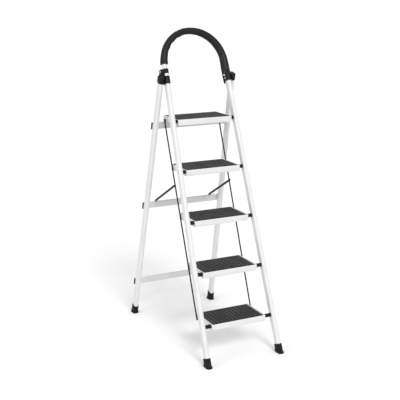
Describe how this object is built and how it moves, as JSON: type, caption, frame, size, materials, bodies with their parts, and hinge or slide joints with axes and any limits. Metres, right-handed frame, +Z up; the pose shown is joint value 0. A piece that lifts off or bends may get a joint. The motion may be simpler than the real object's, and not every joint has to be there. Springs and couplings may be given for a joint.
{
  "type": "step ladder",
  "caption": "Folding steel step ladder with wide trays on a splayed front frame, padded hoop handle, hinged rear frame, lift rods and fold links.",
  "frame": {"origin": "on the floor at the middle of the base, under the ladder standing open", "axes": "+Z up, +X to the climber's right, +Y the way the climber faces, from the front feet to the rear feet"},
  "size_m": [0.5152, 0.89, 1.5915],
  "materials": {
    "white_powder_coat": "smooth semi-gloss powder coat",
    "black_plastic": "fine matte moulded texture",
    "black_rubber": "matte",
    "ribbed_mat": "fine lengthwise ribs, matte",
    "grip_foam": "closed-cell foam, soft and slightly creased",
    "black_steel": "satin black",
    "zinc_plate": "zinc plated"
  },
  "bodies": {
    "front_frame": {"front_rail_left": "white_powder_coat", "front_rail_right": "white_powder_coat", "front_foot_left": "black_rubber", "front_foot_right": "black_rubber", "top_joint_left": "black_plastic", "top_joint_right": "black_plastic", "hinge_pin_left": "zinc_plate", "hinge_pin_right": "zinc_plate", "handle_tube": "white_powder_coat", "handle_grip": "grip_foam", "step_1_spacer_left": "black_plastic", "step_1_spacer_right": "black_plastic", "step_1_rivet_left": "white_powder_coat", "step_1_rivet_right": "white_powder_coat", "step_2_spacer_left": "black_plastic", "step_2_spacer_right": "black_plastic", "step_2_rivet_left": "white_powder_coat", "step_2_rivet_right": "white_powder_coat", "step_3_spacer_left": "black_plastic", "step_3_spacer_right": "black_plastic", "step_3_rivet_left": "white_powder_coat", "step_3_rivet_right": "white_powder_coat", "step_4_spacer_left": "black_plastic", "step_4_spacer_right": "black_plastic", "step_4_rivet_left": "white_powder_coat", "step_4_rivet_right": "white_powder_coat", "step_5_spacer_left": "black_plastic", "step_5_spacer_right": "black_plastic", "step_5_rivet_left": "white_powder_coat", "step_5_rivet_right": "white_powder_coat"},
    "rear_frame": {"rear_leg_left": "white_powder_coat", "rear_leg_right": "white_powder_coat", "rear_hinge_cap_left": "black_plastic", "rear_hinge_cap_right": "black_plastic", "rear_foot_left": "black_rubber", "rear_foot_right": "black_rubber", "rear_strap_top": "white_powder_coat", "rear_strap_middle": "white_powder_coat", "rear_strap_bottom": "white_powder_coat", "strap_cap_top_left": "black_plastic", "strap_cap_top_right": "black_plastic", "strap_cap_middle_left": "black_plastic", "strap_cap_middle_right": "black_plastic", "strap_cap_bottom_left": "black_plastic", "strap_cap_bottom_right": "black_plastic"},
    "step_1": {"step_1_tread": "white_powder_coat", "step_1_mat": "ribbed_mat"},
    "step_2": {"step_2_tread": "white_powder_coat", "step_2_mat": "ribbed_mat"},
    "step_3": {"step_3_tread": "white_powder_coat", "step_3_mat": "ribbed_mat"},
    "step_4": {"step_4_tread": "white_powder_coat", "step_4_mat": "ribbed_mat"},
    "step_5": {"step_5_tread": "white_powder_coat", "step_5_mat": "ribbed_mat"},
    "lift_rods": {"lift_rod_left": "black_steel", "lift_rod_right": "black_steel"},
    "fold_links": {"fold_link_left": "black_steel", "fold_link_right": "black_steel"}
  },
  "joints": [
    {"name": "fold", "type": "hinge", "parent": "front_frame", "child": "rear_frame", "pos_m": [0, 0.10603, 1.3492], "axis": [-1, 0, 0], "range_deg": [0, 31.7]},
    {"name": "step_1_pivot", "type": "hinge", "parent": "front_frame", "child": "step_1", "pos_m": [0, -0.34982, 0.18], "axis": [1, 0, 0], "range_deg": [0, 68.7]},
    {"name": "step_2_pivot", "type": "hinge", "parent": "front_frame", "child": "step_2", "pos_m": [0, -0.25625, 0.42], "axis": [1, 0, 0], "range_deg": [0, 68.7]},
    {"name": "step_3_pivot", "type": "hinge", "parent": "front_frame", "child": "step_3", "pos_m": [0, -0.16268, 0.66], "axis": [1, 0, 0], "range_deg": [0, 68.7]},
    {"name": "step_4_pivot", "type": "hinge", "parent": "front_frame", "child": "step_4", "pos_m": [0, -0.0691, 0.9], "axis": [1, 0, 0], "range_deg": [0, 68.7]},
    {"name": "step_5_pivot", "type": "hinge", "parent": "front_frame", "child": "step_5", "pos_m": [0, 0.02447, 1.14], "axis": [1, 0, 0], "range_deg": [0, 68.7]},
    {"name": "lift_rod_pivot", "type": "hinge", "parent": "step_5", "child": "lift_rods", "pos_m": [0, 0.16867, 1.1264], "axis": [-1, 0, 0], "range_deg": [0, 68.7]},
    {"name": "fold_link_pivot", "type": "hinge", "parent": "rear_frame", "child": "fold_links", "pos_m": [0, 0.28577, 0.6735], "axis": [-1, 0, 0], "range_deg": [0, 42.33]}
  ],
  "couplings": [
    {"joint": "step_1_pivot", "follows": "fold", "ratio": 2.1671},
    {"joint": "step_2_pivot", "follows": "fold", "ratio": 2.1671},
    {"joint": "step_3_pivot", "follows": "fold", "ratio": 2.1671},
    {"joint": "step_4_pivot", "follows": "fold", "ratio": 2.1671},
    {"joint": "step_5_pivot", "follows": "fold", "ratio": 2.1671},
    {"joint": "lift_rod_pivot", "follows": "fold", "ratio": 2.1671},
    {"joint": "fold_link_pivot", "follows": "fold", "ratio": 1.335}
  ]
}
